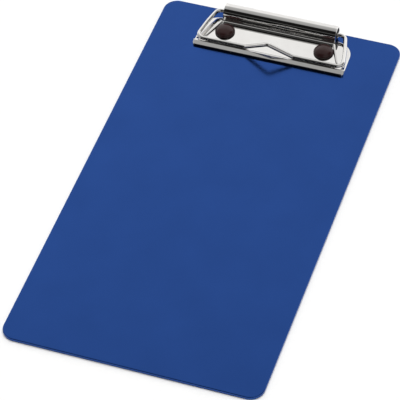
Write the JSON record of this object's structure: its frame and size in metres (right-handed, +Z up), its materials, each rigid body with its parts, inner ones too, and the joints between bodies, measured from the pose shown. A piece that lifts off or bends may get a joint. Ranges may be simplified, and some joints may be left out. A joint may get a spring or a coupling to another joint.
{
  "type": "clipboard",
  "caption": "Narrow metal clipboard with a chromed clip whose wire bail swings up in a rolled barrel against torsion springs.",
  "frame": {"origin": "middle of the board's back face, which is the bottom of the bounding box", "axes": "+X across the board, +Y along it towards the clip, +Z up from the back face to the clip"},
  "size_m": [0.12, 0.225, 0.0121],
  "materials": {
    "blue_board": "satin blue anodised",
    "chromed_plate": "bright chrome plated sheet steel",
    "chromed_wire": "bright chrome plated wire",
    "brown_cap": "glossy dark brown lacquer",
    "spring_steel": "plain bright steel",
    "black_nylon": "matt black nylon"
  },
  "bodies": {
    "clipboard": {"board_panel": "blue_board", "base_plate": "chromed_plate", "hinge_plate": "chromed_plate", "barrel_bush_left": "black_nylon", "barrel_bush_right": "black_nylon", "torsion_spring_left": "spring_steel", "torsion_spring_right": "spring_steel", "rivet_cap_left": "brown_cap", "rivet_cap_right": "brown_cap", "rivet_post_left": "spring_steel", "rivet_post_right": "spring_steel"},
    "bail": {"wire_bail": "chromed_wire"}
  },
  "joints": [
    {"name": "bail_pivot", "type": "hinge", "parent": "clipboard", "child": "bail", "pos_m": [0, 0.1074, 0.00568], "axis": [-1, 0, 0], "range_deg": [0, 110], "stiffness_Nm_per_rad": 0.06, "springref_deg": -57.3}
  ]
}
